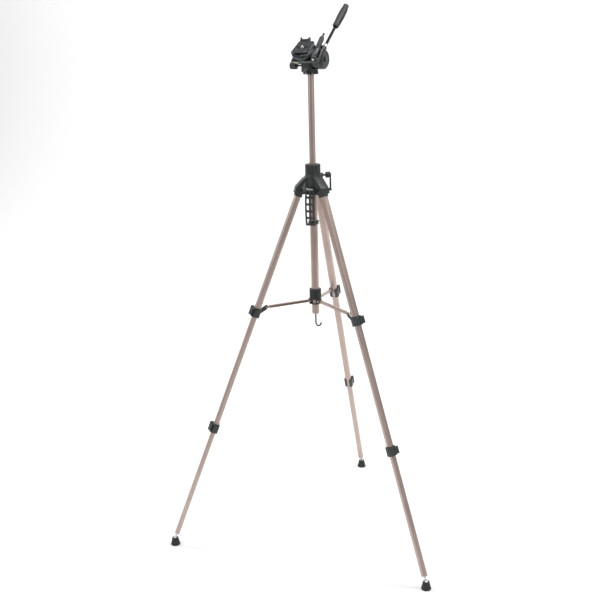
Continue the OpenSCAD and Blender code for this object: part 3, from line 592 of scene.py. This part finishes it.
# Side hinge. A steel pin through the tilt drum's ears with a small bright screw in its end,
# and the long tapered knob on it, knurled so that it can be turned with wet hands.
refinish("side_pin", blacked)
hinge_frame = frame_at(joints["side_turn"]["pos_m"], tilt_x, head_frame.col[1].xyz)
hinge_at = head_frame.inverted() @ hinge_frame.translation
front_end = head_frame @ Vector((hinge_at.x, -39 * mm, hinge_at.z))
screw("side_pin_screw", front_end, -head_frame.col[1].xyz, 3.6, "tilt_head", 15)
knob_frame = frame_at(head_frame @ Vector((hinge_at.x, 0, hinge_at.z)), tilt_x, head_frame.col[1].xyz)
side_knob = turned("side_lock_knob", [(3.3, 8.6), (6.4, 8.6), (7.1, 9.3), (7.1, 12), (6.6, 12.4),
    (6.6, 13.4), (7.5, 13.8), (7.5, 20), (7.5, 21), (7.5, 27), (7.5, 28), (7.5, 34), (7.5, 35),
    (7.5, 41), (7.2, 42), (6.2, 45.8), (4.6, 47.2), (3.6, 48), (3.2, 52), (3.0, 60), (2.6, 62),
    (1.4, 63), (0, 63)], 48)
for low, high in ((13.9, 20), (21, 27), (28, 34), (35, 41)):
    knurl(side_knob, low, high, 12, 0.55, 7.0)
settle(side_knob, knob_frame)
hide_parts("side_knob")
finish(side_knob, grip_rubber, "side_knob")


# Platform. A glossy black plate with a bright moulded bead along its curved front edge, low
# rails beside the quick-release plate and a pair of short horns behind it.
glossy = moulded_black("glossy_platform", (0.010, 0.014, 0.015), (0.015, 0.020, 0.022),
    (0.05, 0.06, 0.062), 0.20, 700.0, 0.00002)
eased("platform", "camera_platform", 1.2, glossy, 3)
plate_mid, plate_top = (-5.5, -2.5), 46
for n, (radius, top, thick) in enumerate(((36.4, plate_top, 1.5), (37.3, plate_top - 6.2, 1.0))):
    ring = turned(f"platform_bead_{n + 1}", [(radius + thick * math.cos(math.tau * k / 12),
        top + thick * math.sin(math.tau * k / 12)) for k in range(13)], 96)
    bpy.ops.object.mode_set(mode="EDIT")
    bpy.ops.mesh.select_all(action="SELECT")
    bpy.ops.mesh.bisect(plane_co=(0, -11 * mm, 0), plane_no=(0, 1, 0), clear_outer=True, use_fill=True)
    bpy.ops.object.mode_set(mode="OBJECT")
    settle(ring, head_frame @ Matrix.Translation((plate_mid[0] * mm, plate_mid[1] * mm, 0)))
    finish(ring, glossy, "platform")


# Quick-release plate. A black plate with a ribbed rubber pad that the camera sits on, the
# swing lever that holds it, and the standard threaded screw.
eased("quick_plate", "release_plate", 0.7, glossy, 3)
eased("quick_lever", "release_lever", 0.9, grained_nylon, 3)
pad = None
for n in range(13):
    y = -21.6 + 3.15 * n
    if abs(y + 2) < 4.6:
        continue
    strip = block(f"pad_strip_{n}", (38, 1.7, 0.9), (-5.5, y, 52.45), 0.35)
    if pad is None:
        pad = strip
    else:
        pick(pad)
        strip.select_set(True)
        bpy.ops.object.join()
pad.name = pad.data.name = "release_pad"
settle(pad, head_frame)
finish(pad, grip_rubber, "quick_plate")
thread = []
for n in range(5):
    thread += [(3.15, 53.0 + 1.02 * n), (2.65, 53.5 + 1.02 * n)]
mount_screw = turned("mount_screw", [(0, 46.2), (7.6, 46.2), (8, 46.6), (8, 48), (7.6, 48.4),
    (3.9, 48.4), (3.9, 52.3), (3.6, 52.6), (3.1, 52.6), (3.1, 52.8)] + thread + [(2.5, 57.8), (2.0, 58.2), (0, 58.2)], 48)
settle(mount_screw, head_frame @ Matrix.Translation((-5.5 * mm, -2 * mm, 0)))
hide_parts("camera_screw")
finish(mount_screw, zinc, "camera_screw")
bpy.data.objects.remove(screw_head)


# Studio. A white paper sweep that curves up behind the stand, a wide soft box overhead, and
# narrower ones to the sides that draw the bright lines down the tubes.
bpy.ops.mesh.primitive_plane_add(size=1, location=(0, 0, 0))
floor = bpy.context.object
floor.name = "studio_sweep"
bpy.ops.transform.resize(value=(16, 12, 1))
bpy.ops.transform.translate(value=(0, -2.5, 0))
bpy.ops.object.transform_apply(location=True, rotation=True, scale=True)
bpy.ops.object.mode_set(mode="EDIT")
bpy.ops.mesh.select_mode(type="EDGE")
bpy.ops.mesh.select_all(action="DESELECT")
bpy.ops.object.mode_set(mode="OBJECT")
for e in floor.data.edges:
    e.select = all(floor.data.vertices[v].co.y > 3 for v in e.vertices)
for step in range(12):
    rise = math.radians(90 * (step + 1) / 12)
    bpy.ops.object.mode_set(mode="EDIT")
    bpy.ops.mesh.extrude_region_move(TRANSFORM_OT_translate={"value":
        (0, 0.26 * math.cos(rise), 0.26 * math.sin(rise))})
bpy.ops.mesh.extrude_region_move(TRANSFORM_OT_translate={"value": (0, 0, 6)})
bpy.ops.object.mode_set(mode="OBJECT")
bpy.ops.object.shade_smooth()
made, tree, shader, where = new_finish("studio_paper")
tree.links.new(blend_colours(tree, speckle(tree, where, 300.0), (0.90, 0.90, 0.90),
    (0.93, 0.93, 0.93)), shader.inputs["Base Color"])
shader.inputs["Roughness"].default_value = 0.95
floor.data.materials.append(made)

world = bpy.data.worlds.new("studio")
bpy.context.scene.world = world
world.use_nodes = True
world.node_tree.nodes["Background"].inputs["Color"].default_value = (1, 1, 1, 1)
world.node_tree.nodes["Background"].inputs["Strength"].default_value = 0.30
bpy.context.scene.view_settings.view_transform = "Standard"


def soft_box(name, at, aim, size, power):
    lamp = bpy.data.lights.new(name, "AREA")
    lamp.shape = "RECTANGLE"
    lamp.size, lamp.size_y = size
    lamp.energy = power
    o = bpy.data.objects.new(name, lamp)
    bpy.context.scene.collection.objects.link(o)
    o.location = at
    o.rotation_euler = (Vector(aim) - Vector(at)).to_track_quat("-Z", "Y").to_euler()
    return o


soft_box("top_light", (0.3, -1.0, 4.0), (0, -0.1, 0.6), (2.6, 2.0), 62)
soft_box("left_light", (-2.6, -2.4, 2.2), (0, 0, 0.9), (0.7, 2.2), 26)
soft_box("right_light", (2.9, -1.4, 2.0), (0, 0, 0.9), (0.5, 2.2), 13)
soft_box("sweep_light_left", (-3.4, 0.4, 3.4), (-2.4, 3.8, 1.0), (2.6, 1.4), 150)
soft_box("sweep_light_right", (2.2, 0.6, 3.4), (1.2, 3.8, 1.0), (2.6, 1.4), 110)

lens = bpy.data.cameras.new("camera")
lens.sensor_width = 36
lens.lens = 58.796
camera = bpy.data.objects.new("camera", lens)
camera.location = (0.99457, -2.91840, 1.69836)
camera.rotation_euler = tuple(math.radians(a) for a in (73.3089, 1.4054, 20.1172))
bpy.context.scene.collection.objects.link(camera)
bpy.context.scene.camera = camera
